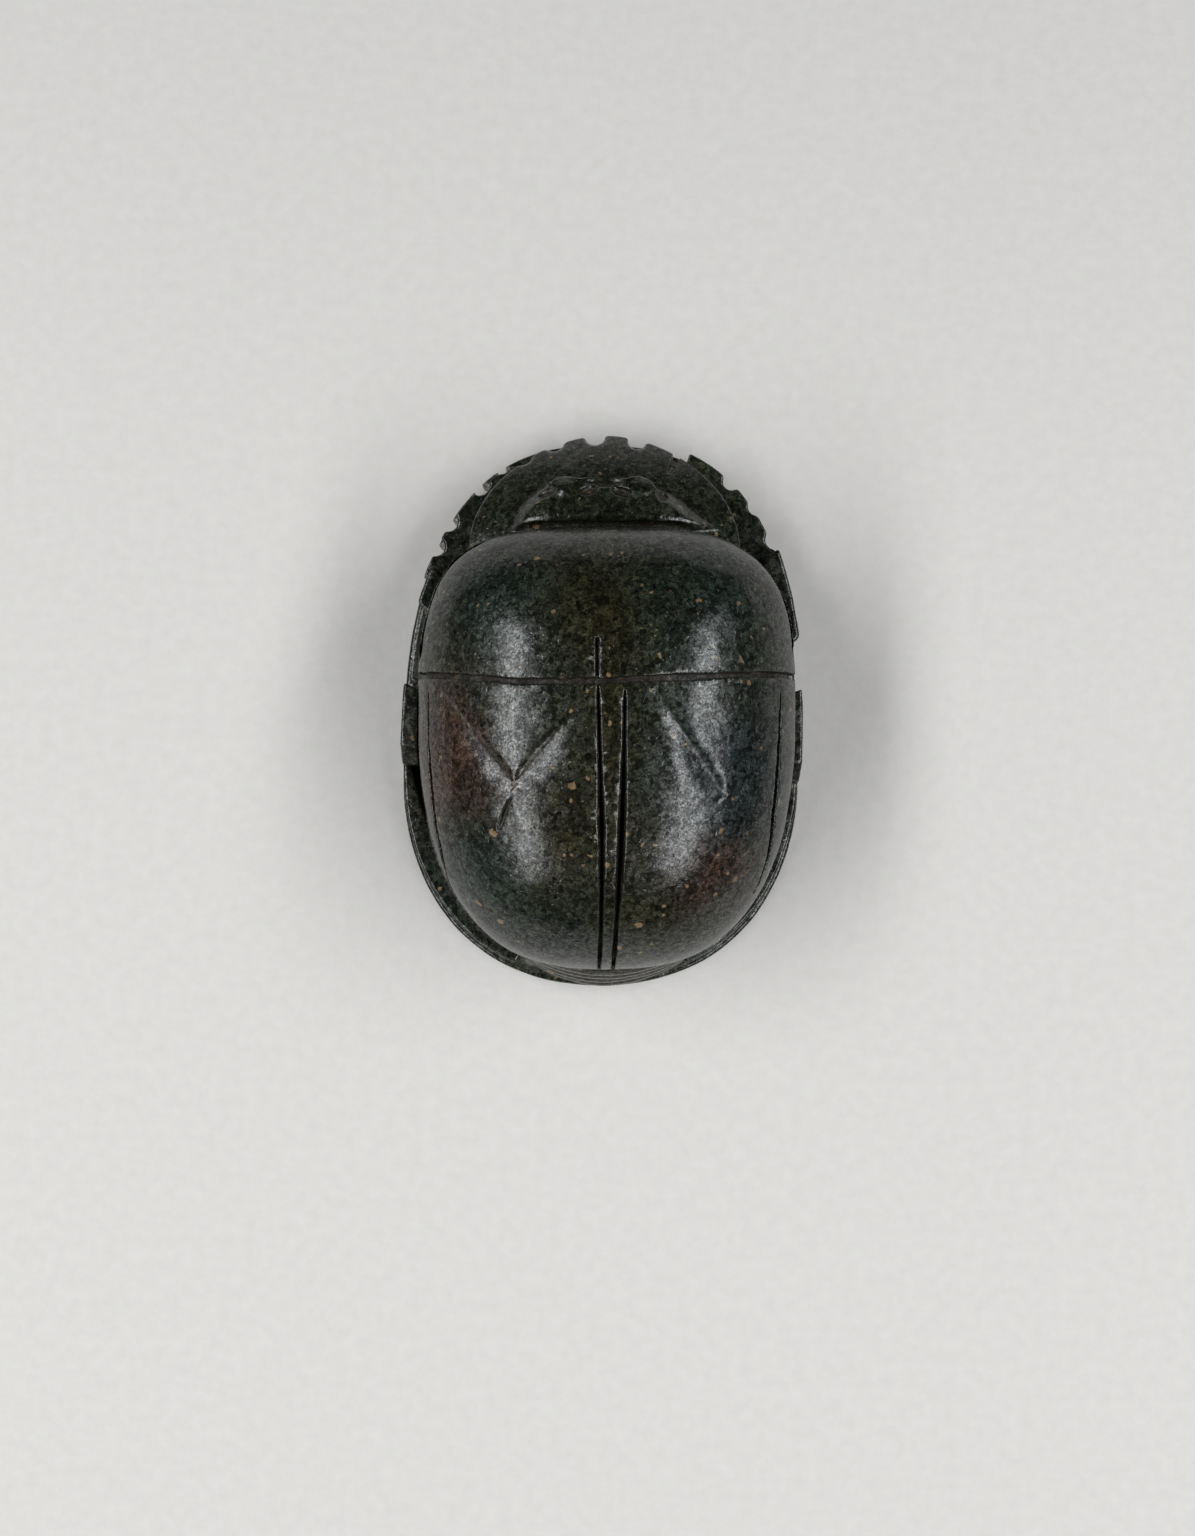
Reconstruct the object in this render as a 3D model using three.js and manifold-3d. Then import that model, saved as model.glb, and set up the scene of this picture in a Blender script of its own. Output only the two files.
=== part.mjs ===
import * as THREE from 'three';
import { mergeVertices } from 'three/addons/utils/BufferGeometryUtils.js';
import Module from 'manifold-3d';

// A scarab beetle carved from one piece of dark green stone. It lies on the flat underside of its oval
// base plate, centred on the origin. The head points along +Y, the beetle's right side is +X and its back
// is up, +Z. Millimetres.

// Driving dimensions
const LENGTH = 60; // teeth of the head to the rear of the base plate
const WIDTH = 43.3; // base plate, across
const HEIGHT = 26; // underside to the top of the back
const PLATE = 3; // thickness of the base plate
const PLATE_FRONT = 29.26; // front of the base plate, just behind the teeth of the head
const WIDEST_AT = -6.8; // the plate is widest behind its middle

// Ovals are drawn about their own centre. Each end has its own reach and fullness: 2 is an ellipse, more
// is squarer.
const BASE = {
  centreX: 0,
  centreY: WIDEST_AT,
  halfWidth: WIDTH / 2,
  front: PLATE_FRONT - WIDEST_AT,
  rear: LENGTH / 2 + WIDEST_AT,
  frontFullness: 2.55,
  rearFullness: 2.2,
};
const BACK = {
  centreX: 0.6,
  centreY: 0,
  halfWidth: 18.9,
  front: 18.2,
  rear: 26.9,
  frontFullness: 3.3,
  rearFullness: 2.6,
};
const BACK_SHOULDER = 2.3; // how squarely the back rises from its rim: 2 and 2 would make it an ellipse
const BACK_CREST = 1.8; // how flat the back is along its top
const BACK_RIM = 0.9; // thickness of the rim round the back
const RIM_HEIGHT = 13.2; // height of the rim where it is highest
const RIM_PEAK = 4; // distance of that place from the origin, towards the head
const RIM_ARCH = 0.0035; // fall of the rim per square millimetre of distance from there

const PLATE_EDGE = 0.4; // chamfer round both edges of the plate
const SINK = 0.6; // how deep the flank is rooted in the plate
const FLANK_FOOT_INSET = 0.8; // from the plate's edge
const FLANK_TOP_INSET = 1.1; // from the rim of the back
const FLANK_HOLLOW = 1.8; // how hollow the flank is between the two: 1 is straight
const FLANK_RINGS = 4;

const HEAD = {
  centreX: 0.4,
  centreY: 17,
  halfWidth: 14,
  front: LENGTH / 2 - 17,
  rear: 2,
  frontFullness: 1.8,
  rearFullness: 4,
};
const HEAD_ROOT = 2.4; // height of the head's underside, inside the plate
const HEAD_TOP = 12.3; // where the head meets the prothorax
const HEAD_SLOPE = 0.3; // fall of the face where it meets the prothorax
const HEAD_FALL = 0.032; // how much steeper it falls towards its toothed edge
const HEAD_CROWN = 0.012; // how much the face curves down to each side
const CROWN_LIFT = 2.3; // how far the raised crown stands over the face

const ROUND_STEPS = 80; // steps round a full oval
const BACK_RINGS = 12; // rings from the rim to the top of the back
const CUT_LIFT = 1; // how far a cutting tool stands out of the stone

// Radius of an oval in a direction. A bearing is 0 at the head, a quarter turn at the side and half a turn
// at the tail.
function ovalRadius(oval, bearing) {
  const across = Math.abs(Math.sin(bearing)) / oval.halfWidth;
  const isFront = Math.cos(bearing) > 0;
  const along = Math.abs(Math.cos(bearing)) / (isFront ? oval.front : oval.rear);
  const fullness = isFront ? oval.frontFullness : oval.rearFullness;
  return (across ** fullness + along ** fullness) ** (-1 / fullness);
}

function ovalPoint(oval, bearing, height, scale = 1) {
  const radius = scale * ovalRadius(oval, bearing);
  const x = oval.centreX + radius * Math.sin(bearing);
  const y = oval.centreY + radius * Math.cos(bearing);
  return new THREE.Vector3(x, y, height);
}

function insetOval(oval, inset) {
  return {
    ...oval,
    halfWidth: oval.halfWidth - inset,
    front: oval.front - inset,
    rear: oval.rear - inset,
  };
}

function ovalRing(oval, heightOf, scale = 1) {
  return Array.from({ length: ROUND_STEPS }, (_, i) => {
    const point = ovalPoint(oval, (-2 * Math.PI * i) / ROUND_STEPS, 0, scale);
    point.z = heightOf(point);
    return point;
  });
}

// A closed body through sections with equal numbers of points, each counter-clockwise seen from the last.
function loft(sections) {
  const count = sections[0].length;
  const points = sections.flat();
  const index = [];
  for (let row = 0; row < sections.length - 1; row++) {
    for (let i = 0; i < count; i++) {
      const a = row * count + i;
      const b = row * count + ((i + 1) % count);
      index.push(a, b, b + count, a, b + count, a + count);
    }
  }
  const addCap = (start, isLast) => {
    const middle = new THREE.Vector3();
    for (let i = 0; i < count; i++) middle.addScaledVector(points[start + i], 1 / count);
    const centre = points.push(middle) - 1;
    for (let i = 0; i < count; i++) {
      const a = start + i;
      const b = start + ((i + 1) % count);
      index.push(...(isLast ? [a, b, centre] : [b, a, centre]));
    }
  };
  addCap(0, false);
  addCap((sections.length - 1) * count, true);
  return new THREE.BufferGeometry().setFromPoints(points).setIndex(index);
}

const wasm = await Module();
wasm.setup();

function toSolid(geometry) {
  const bare = geometry.clone();
  bare.deleteAttribute('normal');
  bare.deleteAttribute('uv');
  const merged = mergeVertices(bare, 1e-5);
  const vertProperties = new Float32Array(merged.attributes.position.array);
  const triVerts = new Uint32Array(merged.index.array);
  return new wasm.Manifold(new wasm.Mesh({ numProp: 3, vertProperties, triVerts }));
}

function toGeometry(solid) {
  const { vertProperties, triVerts } = solid.getMesh();
  const geometry = new THREE.BufferGeometry();
  geometry.setAttribute('position', new THREE.BufferAttribute(vertProperties, 3));
  geometry.setIndex(new THREE.BufferAttribute(triVerts, 1));
  geometry.computeVertexNormals();
  return geometry;
}

const solidLoft = (sections) => toSolid(loft(sections));

// The rim round the back, and the back above it. At share 0 the back is at its rim, at share 1 at its top.
const rimHeight = (y) => RIM_HEIGHT - RIM_ARCH * (y - RIM_PEAK) ** 2;
const backHeight = (y, share) => rimHeight(y) + (HEIGHT - rimHeight(y)) * share;
const backScale = (share) => (1 - share ** BACK_CREST) ** (1 / BACK_SHOULDER);
const backShare = (scale) => Math.max(0, 1 - scale ** BACK_SHOULDER) ** (1 / BACK_CREST);
const BACK_SHARES = Array.from({ length: BACK_RINGS }, (_, i) =>
  Math.sin((0.5 * Math.PI * i) / (BACK_RINGS - 0.8))
);

function backPoint(x, y) {
  const bearing = Math.atan2(x - BACK.centreX, y);
  const scale = Math.hypot(x - BACK.centreX, y) / ovalRadius(BACK, bearing);
  return new THREE.Vector3(x, y, backHeight(y, backShare(scale)));
}

function backSidePoint(bearing, share) {
  const point = ovalPoint(BACK, bearing, 0, backScale(share));
  point.z = backHeight(point.y, share);
  return point;
}

function makePlate() {
  const edge = (inset, height) => ovalRing(insetOval(BASE, inset), () => height);
  return solidLoft([
    edge(PLATE_EDGE, 0),
    edge(0, PLATE_EDGE),
    edge(0, PLATE - PLATE_EDGE),
    edge(PLATE_EDGE, PLATE),
  ]);
}

// The hollow flank between the edge of the plate and the rim of the back.
function makeFlank() {
  const foot = ovalRing(insetOval(BASE, FLANK_FOOT_INSET), () => PLATE);
  const top = ovalRing(insetOval(BACK, FLANK_TOP_INSET), (point) => rimHeight(point.y));
  const sections = [ovalRing(insetOval(BASE, FLANK_FOOT_INSET), () => PLATE - SINK)];
  for (let ring = 0; ring <= FLANK_RINGS; ring++) {
    const share = ring / FLANK_RINGS;
    const inward = 1 - (1 - share) ** FLANK_HOLLOW;
    sections.push(
      foot.map((point, i) => {
        const place = point.clone().lerp(top[i], inward);
        return place.setZ(THREE.MathUtils.lerp(point.z, top[i].z, share));
      })
    );
  }
  return solidLoft(sections);
}

function makeBack() {
  const sections = [ovalRing(BACK, (point) => rimHeight(point.y) - BACK_RIM)];
  for (const share of BACK_SHARES) {
    sections.push(ovalRing(BACK, (point) => backHeight(point.y, share), backScale(share)));
  }
  return solidLoft(sections);
}

// The rear end of the abdomen, ringed by shallow steps, comes out from under the back and slopes down to
// the plate.
function makeTail() {
  const steps = 4;
  const top = rimHeight(-BACK.rear);
  const stepHeight = (top - PLATE) / steps;
  const stepIn = 0.35;
  const sections = [];
  for (let step = 0; step <= steps; step++) {
    const share = step / steps; // 0 at the plate, 1 under the back
    const oval = {
      centreX: BACK.centreX,
      centreY: -16,
      halfWidth: 10.5 + 2 * share,
      front: 3,
      rear: 13.3 - 2.6 * share,
      frontFullness: 2,
      rearFullness: 1.7 + 0.3 * share,
    };
    const height = PLATE - SINK + step * stepHeight;
    sections.push(ovalRing(oval, () => height));
    if (step < steps) sections.push(ovalRing(insetOval(oval, stepIn), () => height + 0.6 * stepHeight));
  }
  return solidLoft(sections);
}

// A bar that follows the base plate's edge, from one bearing to another, on the side that the sign gives.
// Its outer and inner faces are given by their inset from that edge, and each pair of numbers holds at its
// front and rear end.
function makeBar(side, { from, to, outer, inner, bottom, top, steps = 8 }) {
  const sections = [];
  for (let i = 0; i <= steps; i++) {
    const share = i / steps;
    const bearing = side * THREE.MathUtils.degToRad(THREE.MathUtils.lerp(from, to, share));
    const low = THREE.MathUtils.lerp(...bottom, share);
    const high = THREE.MathUtils.lerp(...top, share);
    const outside = insetOval(BASE, THREE.MathUtils.lerp(...outer, share));
    const inside = insetOval(BASE, THREE.MathUtils.lerp(...inner, share));
    const section = [
      ovalPoint(outside, bearing, low),
      ovalPoint(inside, bearing, low),
      ovalPoint(inside, bearing, high),
      ovalPoint(outside, bearing, high),
    ];
    sections.push(side < 0 ? section : section.reverse());
  }
  return solidLoft(sections);
}

const LEG_ROOT = 2.6; // height of every leg's underside, inside the plate
const NOTCH_RADIUS = 1.05;
const LEGS = [
  {
    side: -1,
    shin: [15.5, 42],
    shinOuter: [1.2, 0.4],
    notches: [22.6, 31, 35.6],
    notchInset: 0.8,
    thigh: [38.7, 47],
    thighOuter: [1.1, 0.9],
    middle: [65, 87.5],
    middleOuter: [0.9, 0.6],
  },
  {
    side: 1,
    shin: [15.5, 42],
    shinOuter: [-0.1, -0.4],
    notches: [23.8, 30, 36.4],
    notchInset: 0,
    thigh: [38, 55.7],
    thighOuter: [-0.35, -0.1],
    middle: [67, 92.5],
    middleOuter: [0.4, 0.6],
  },
];

// A foreleg: a low shin whose outer edge is notched into teeth, and a higher thigh behind it.
function makeForeleg({ side, shin, shinOuter, thigh, thighOuter, notches, notchInset }) {
  const lower = makeBar(side, {
    from: shin[0],
    to: shin[1],
    outer: shinOuter,
    inner: [7, 7],
    bottom: [LEG_ROOT, LEG_ROOT],
    top: [6, 6.6],
  });
  const upper = makeBar(side, {
    from: thigh[0],
    to: thigh[1],
    outer: thighOuter,
    inner: [5, 5],
    bottom: [LEG_ROOT, LEG_ROOT],
    top: [8.4, 9],
    steps: 4,
  });
  const height = 4;
  return notches.reduce((leg, bearing) => {
    const notch = new THREE.CylinderGeometry(NOTCH_RADIUS, NOTCH_RADIUS, height, 12);
    notch.rotateX(Math.PI / 2);
    const rim = insetOval(BASE, notchInset);
    const place = ovalPoint(rim, side * THREE.MathUtils.degToRad(bearing), PLATE + height / 2 + 0.3);
    notch.translate(...place.toArray());
    return leg.subtract(toSolid(notch));
  }, lower.add(upper));
}

function makeMiddleLeg({ side, middle, middleOuter }) {
  return makeBar(side, {
    from: middle[0],
    to: middle[1],
    outer: middleOuter,
    inner: [4.5, 4.5],
    bottom: [LEG_ROOT, LEG_ROOT],
    top: [9.6, 5],
  });
}

// A hind leg: a low wall round the plate's edge, with a hollow behind its front half, thickening towards
// the tail.
function makeHindLeg({ side }) {
  return makeBar(side, {
    from: 86,
    to: 152,
    outer: [0.7, 1],
    inner: [1.4, 6.4],
    bottom: [LEG_ROOT, LEG_ROOT],
    top: [6.2, 5],
    steps: 12,
  });
}

// A solid with a curved top over a rectangle, used to trim an upright outline to the slope of the head.
function curvedTop(left, right, rear, front, bottom, heightOf, columns = 14) {
  const rows = [];
  for (let i = 0; i <= columns; i++) {
    const x = THREE.MathUtils.lerp(left, right, i / columns);
    const stations = 7;
    const section = [];
    for (let j = 0; j <= stations; j++) {
      const y = THREE.MathUtils.lerp(rear, front, j / stations);
      section.push(new THREE.Vector3(x, y, heightOf(x, y)));
    }
    section.push(new THREE.Vector3(x, front, bottom), new THREE.Vector3(x, rear, bottom));
    rows.push(section.reverse());
  }
  return solidLoft(rows);
}

function upright(shape, bottom, top) {
  const options = { depth: top - bottom, bevelEnabled: false, curveSegments: 6 };
  const geometry = new THREE.ExtrudeGeometry(shape, options);
  geometry.translate(0, 0, bottom);
  return toSolid(geometry);
}

function faceHeight(x, y) {
  const ahead = y - 18;
  return HEAD_TOP - HEAD_SLOPE * ahead - HEAD_FALL * ahead ** 2 - HEAD_CROWN * (x - HEAD.centreX) ** 2;
}

// The face of the head: a half oval whose front edge is cut into teeth, with a deeper slit beside the right
// cheek.
function makeFace() {
  const outline = Array.from({ length: ROUND_STEPS }, (_, i) =>
    ovalPoint(HEAD, (-2 * Math.PI * i) / ROUND_STEPS, 0)
  );
  const block = upright(new THREE.Shape(outline), HEAD_ROOT, HEAD_TOP + 4);
  const trim = curvedTop(-15.5, 16.5, 14, 31, 0, faceHeight);
  const notches = [
    { x: -8.4, y: 27.15, radius: 0.9 },
    { x: -5.05, y: 28.9, radius: 0.95 },
    { x: -0.57, y: 29.6, radius: 0.93 },
    { x: 3.95, y: 29.02, radius: 0.95 },
    { x: 8.1, y: 27.2, radius: 0.75 },
    { x: 7.75, y: 26.2, radius: 0.55 },
    { x: 7.35, y: 25.3, radius: 0.4 },
  ];
  return notches.reduce((face, { x, y, radius }) => {
    const notch = new THREE.CylinderGeometry(radius, radius, 10, 12);
    notch.rotateX(Math.PI / 2);
    notch.translate(x, y, PLATE + 5.3);
    return face.subtract(toSolid(notch));
  }, block.intersect(trim));
}

// The raised crown behind the face, with two round lobes in front and an eye's slope running out to each
// side.
function makeCrown() {
  const shape = new THREE.Shape();
  shape.moveTo(-9.4, 18.9);
  shape.lineTo(12.9, 18.9);
  shape.lineTo(9.6, 20.3);
  shape.lineTo(8.4, 21.3);
  shape.lineTo(7, 22);
  shape.absarc(4.2, 22.5, 1.4, 0, 0.75 * Math.PI, false);
  shape.lineTo(1.9, 22.6);
  shape.lineTo(0.6, 22.1);
  shape.lineTo(-1, 22.8);
  shape.absarc(-3.3, 22.5, 1.4, 0.25 * Math.PI, 0.8 * Math.PI, false);
  shape.lineTo(-6.8, 22);
  shape.lineTo(-8, 21.2);
  shape.closePath();
  const topHeight = (x, y) => faceHeight(x, y) + CROWN_LIFT - 0.012 * (x - HEAD.centreX) ** 2;
  const trim = curvedTop(-15.5, 16.5, 14, 31, 0, topHeight);
  return upright(shape, HEAD_ROOT, HEAD_TOP + 6).intersect(trim);
}

const STEP = 0.01;

// The direction square to the back at a point, from the change in height round it.
function backNormal({ x, y }) {
  const atX = backPoint(x + STEP, y).z - backPoint(x - STEP, y).z;
  const atY = backPoint(x, y + STEP).z - backPoint(x, y - STEP).z;
  return new THREE.Vector3(-atX, -atY, 2 * STEP).normalize();
}

const thinEnds = (share) => 0.15 + 0.85 * Math.sin(Math.PI * share) ** 0.7;
const thinStart = (share) => 0.2 + 0.8 * share;
const SHOULDER_CUT = { width: 2.6, depth: 0.8, fullness: thinStart };

// A cut with a V section along a line of points on the back. The fullness gives its size at each share of
// the line, and the lean moves the bottom of the V to one side: 1 is as far as the cut's own edge.
function makeCut(points, { width, depth, fullness = thinEnds, lean = 0 }) {
  const last = points.length - 1;
  const sections = points.map((point, i) => {
    const ahead = points[Math.min(i + 1, last)].clone().sub(points[Math.max(i - 1, 0)]).normalize();
    const normal = backNormal(point);
    const across = new THREE.Vector3().crossVectors(ahead, normal).normalize();
    const deep = depth * fullness(i / last);
    const half = 0.5 * width * fullness(i / last);
    const flare = (CUT_LIFT + deep) / deep;
    const bottom = point.clone().addScaledVector(normal, -deep).addScaledVector(across, lean * half);
    const edge = (sign) => {
      const reach = lean * half + (sign - lean) * half * flare;
      return point.clone().addScaledVector(normal, CUT_LIFT).addScaledVector(across, reach);
    };
    return [edge(-1), edge(1), bottom];
  });
  return solidLoft(sections);
}

function lineOnBack([x0, y0], [x1, y1], steps) {
  return Array.from({ length: steps + 1 }, (_, i) =>
    backPoint(THREE.MathUtils.lerp(x0, x1, i / steps), THREE.MathUtils.lerp(y0, y1, i / steps))
  );
}

function makeCuts() {
  const wingGap = [
    makeCut(lineOnBack([-0.1, 1.5], [-0.1, -25.6], 14), { width: 0.6, depth: 0.9 }),
    makeCut(lineOnBack([2.2, 1.5], [1.3, -25.6], 14), { width: 0.7, depth: 0.9 }),
  ];
  const shoulders = [
    makeCut(lineOnBack([-15.2, 2], [-7.7, -7.9], 6), { ...SHOULDER_CUT, lean: 0.4 }),
    makeCut(lineOnBack([-2.3, -1], [-8.1, -7.3], 6), { ...SHOULDER_CUT, width: 2.4, depth: 0.7, lean: -0.4 }),
    makeCut(lineOnBack([4.9, 0.9], [11.3, -8.6], 6), { ...SHOULDER_CUT, lean: 0.4 }),
  ];
  const wingEdges = [-1, 1].map((side) => {
    const steps = 12;
    const points = Array.from({ length: steps + 1 }, (_, i) => {
      const bearing = THREE.MathUtils.degToRad(THREE.MathUtils.lerp(87, 140, i / steps));
      return backSidePoint(side * bearing, 0.4 - 0.22 * (i / steps) ** 2);
    });
    return makeCut(points, { width: 0.9, depth: 0.8 });
  });
  return [...wingGap, ...shoulders, ...wingEdges];
}

// The groove between the prothorax and the wing cases: an upright slab, less a back that is smaller all
// round.
function makeNeckGroove() {
  const depth = 0.8;
  const width = 0.75;
  const small = insetOval(BACK, depth);
  const inside = solidLoft([
    ovalRing(small, () => 0),
    ...BACK_SHARES.map((share) =>
      ovalRing(small, (point) => backHeight(point.y, share) - depth * share, backScale(share))
    ),
  ]);
  const path = [
    [-21, 3.5],
    [-10, 1.9],
    [0, 1.9],
    [10, 2.2],
    [21, 2.8],
  ];
  const slab = path.map(([x, y]) => {
    const bottom = rimHeight(y) - 0.2;
    return [
      new THREE.Vector3(x, y - width / 2, bottom),
      new THREE.Vector3(x, y + width / 2, bottom),
      new THREE.Vector3(x, y + width / 2, HEIGHT + 2),
      new THREE.Vector3(x, y - width / 2, HEIGHT + 2),
    ];
  });
  return solidLoft(slab).subtract(inside);
}

function makeScarab() {
  const raised = [
    makePlate(),
    makeFlank(),
    makeBack(),
    makeTail(),
    makeFace(),
    makeCrown(),
    ...LEGS.flatMap((leg) => [makeForeleg(leg), makeMiddleLeg(leg), makeHindLeg(leg)]),
  ].reduce((body, part) => body.add(part));
  return [makeNeckGroove(), ...makeCuts()].reduce((body, cut) => body.subtract(cut), raised);
}

const stone = new THREE.MeshStandardMaterial({ color: 0x2b312b, roughness: 0.42, metalness: 0 });

const scarab = new THREE.Mesh(toGeometry(makeScarab()), stone);
scarab.name = 'scarab';

const group = new THREE.Group();
group.add(scarab);

export default group;
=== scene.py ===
import bpy
import numpy as np
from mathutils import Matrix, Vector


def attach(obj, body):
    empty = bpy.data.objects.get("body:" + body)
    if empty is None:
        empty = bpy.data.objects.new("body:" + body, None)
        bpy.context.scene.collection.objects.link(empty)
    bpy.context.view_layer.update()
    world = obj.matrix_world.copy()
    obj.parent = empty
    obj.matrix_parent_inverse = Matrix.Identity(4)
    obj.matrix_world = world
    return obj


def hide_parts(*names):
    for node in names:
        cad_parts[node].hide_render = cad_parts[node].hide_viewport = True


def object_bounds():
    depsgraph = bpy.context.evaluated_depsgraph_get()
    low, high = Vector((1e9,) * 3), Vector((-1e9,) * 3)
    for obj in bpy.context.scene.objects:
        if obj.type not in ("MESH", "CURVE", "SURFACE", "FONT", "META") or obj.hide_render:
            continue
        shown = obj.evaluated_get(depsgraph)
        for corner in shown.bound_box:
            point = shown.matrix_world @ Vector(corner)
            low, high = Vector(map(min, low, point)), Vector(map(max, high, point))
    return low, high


# A scarab amulet carved from one piece of dark green speckled stone, seen from straight above on a
# pale table. Shapes are worked out in millimetres, in the part's own frame: +Y to the head, +X to its
# right side, +Z up.

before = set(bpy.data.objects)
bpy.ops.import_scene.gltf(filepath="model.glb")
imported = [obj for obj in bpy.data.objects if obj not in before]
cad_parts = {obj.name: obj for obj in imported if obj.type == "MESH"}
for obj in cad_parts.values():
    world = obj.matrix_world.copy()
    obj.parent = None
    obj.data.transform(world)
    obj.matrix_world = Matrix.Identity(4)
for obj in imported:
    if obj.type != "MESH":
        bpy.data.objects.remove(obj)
cad_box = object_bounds()

MM = 0.001
cad_low, cad_high = (np.array(corner) / MM for corner in cad_box)
VOXEL = 0.15
MOST_TRIANGLES = 190000

# Ovals: centre x and y, half width, reach to the front and to the rear, fullness of the front and of
# the rear.
BASE = (0.0, -6.8, 21.65, 36.06, 23.2, 2.55, 2.2)
BACK = (0.6, 0.0, 18.9, 18.2, 26.9, 3.3, 2.6)
HEAD = (0.4, 17.0, 14.0, 13.0, 2.0, 1.8, 4.0)

HEIGHT = 26.0
PLATE = 3.0
ROOT = 2.4
LEG_ROOT = 2.6
SHOULDER = 2.3
CREST = 1.8
TAIL_TOP = 10.2
TAIL_CENTRE = (0.6, -16.0)
TAIL_HALF_WIDTH = 14.2
TAIL_RINGS = 4.0


def rim_height(y):
    return 13.2 - 0.0035 * (y - 4.0) ** 2


def face_height(x, y):
    ahead = y - 18.0
    return 12.3 - 0.3 * ahead - 0.032 * ahead ** 2 - 0.012 * (x - 0.4) ** 2


def hashed(ix, iy, iz, seed):
    n = (ix * 374761393 + iy * 668265263 + iz * 1440662683 + seed * 974634777) & 0xFFFFFFFF
    n = ((n ^ (n >> 13)) * 1274126177) & 0xFFFFFFFF
    n = ((n ^ (n >> 15)) * 2246822519) & 0xFFFFFFFF
    return ((n ^ (n >> 16)) & 0xFFFF) / 32767.5 - 1.0


def noise(x, y, z, size, seed):
    """Smooth noise between -1 and 1 with features of the given size."""
    px, py, pz = x / size + 100.0, y / size + 100.0, z / size + 100.0
    ix, iy, iz = (np.floor(p).astype(np.int64) for p in (px, py, pz))
    fx, fy, fz = px - ix, py - iy, pz - iz
    fx, fy, fz = (f * f * (3 - 2 * f) for f in (fx, fy, fz))
    total = 0.0
    for dx in (0, 1):
        for dy in (0, 1):
            for dz in (0, 1):
                weight = (fx if dx else 1 - fx) * (fy if dy else 1 - fy) * (fz if dz else 1 - fz)
                total = total + weight * hashed(ix + dx, iy + dy, iz + dz, seed)
    return total


def smooth_step(t):
    t = np.clip(t, 0.0, 1.0)
    return t * t * (3 - 2 * t)


def join(a, b, blend):
    h = np.maximum(blend - np.abs(a - b), 0) / blend
    return np.minimum(a, b) - h * h * blend / 4


def cut(a, b, blend):
    """The solid a without the solid b."""
    return -join(-a, b, blend)


def oval_edge(x, y, oval):
    """Scale of the oval through each point, how fast it grows there, and the distance outside its edge."""
    cx, cy, half, front, rear, nose, tail = oval
    ahead = y > cy
    reach = np.where(ahead, front, rear)
    n = np.where(ahead, nose, tail)
    u = np.abs(x - cx) / half
    v = np.abs(y - cy) / reach
    scale = np.maximum((u ** n + v ** n) ** (1 / n), 1e-4)
    growth = np.hypot((u / scale) ** (n - 1) / half, (v / scale) ** (n - 1) / reach)
    return scale, growth, (scale - 1) / growth


def rounded(sides, radius):
    """Distance to a block given the distance outside each of its pairs of sides, with rounded edges."""
    grown = [side + radius for side in sides]
    outside = np.sqrt(sum(np.maximum(side, 0) ** 2 for side in grown))
    inside = np.minimum(np.maximum.reduce(grown), 0)
    return outside + inside - radius


def wedge(across, left, right, depth, under):
    """A V cut: its left and right widths at the surface, its depth, and the uncut surface's distance."""
    share = 1 + under / depth
    from_left = (across + left * share) / np.sqrt(1 + (left / depth) ** 2)
    from_right = (right * share - across) / np.sqrt(1 + (right / depth) ** 2)
    return -np.minimum(from_left, from_right)


def table(t, pairs):
    """Values between listed ones, in a line from each listed place to the next."""
    places, values = zip(*sorted(pairs))
    return np.interp(t, places, values)


def near_path(x, y, z, path):
    """Distance to a line through points in space, and how far along it the nearest place is, 0 to 1."""
    path = np.array(path)
    best = np.full(x.shape, 1e9)
    along = np.zeros(x.shape)
    last = len(path) - 1
    for i in range(last):
        ax, ay, az = path[i]
        bx, by, bz = path[i + 1] - path[i]
        t = ((x - ax) * bx + (y - ay) * by + (z - az) * bz) / (bx * bx + by * by + bz * bz)
        t = np.clip(t, 0, 1)
        distance = np.sqrt((x - ax - t * bx) ** 2 + (y - ay - t * by) ** 2 + (z - az - t * bz) ** 2)
        closer = distance < best
        best = np.where(closer, distance, best)
        along = np.where(closer, (i + t) / last, along)
    return best, along


def outline_distance(x, y, points):
    """Signed distance to a closed outline in plan, negative inside it."""
    best = np.full(x.shape, 1e9)
    inside = np.zeros(x.shape, bool)
    for (ax, ay), (bx, by) in zip(points, points[1:] + points[:1]):
        ex, ey = bx - ax, by - ay
        t = np.clip(((x - ax) * ex + (y - ay) * ey) / (ex * ex + ey * ey), 0, 1)
        best = np.minimum(best, np.hypot(x - ax - t * ex, y - ay - t * ey))
        crosses = (ay > y) != (by > y)
        inside ^= crosses & (x < ax + (y - ay) * ex / (ey if ey else 1e-9))
    return np.where(inside, -best, best)


# The saw cut between prothorax and wing cases, seen from above: x and y along it.
NECK_CUT = [
    (-21, 3.4), (-17.9, 3.0), (-14.9, 2.6), (-7.4, 1.7), (0, 1.67), (3.5, 1.86), (9, 2.18), (17.3, 2.77),
    (21, 3),
]

# The two saw cuts between the wing cases: y, x and half width along each.
LEFT_SEAM = [
    (1.4, -0.28, 0.07), (-5.4, -0.1, 0.16), (-10, 0.02, 0.24), (-13.6, 0.09, 0.27), (-18, 0.06, 0.23),
    (-21.4, 0.01, 0.17), (-26.8, -0.17, 0.12),
]
RIGHT_SEAM = [
    (0.9, 2.15, 0.06), (-5.4, 2.06, 0.2), (-10, 1.94, 0.28), (-13.6, 1.82, 0.31), (-18, 1.64, 0.27),
    (-20.3, 1.5, 0.2), (-26.8, 1.22, 0.14),
]

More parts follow.
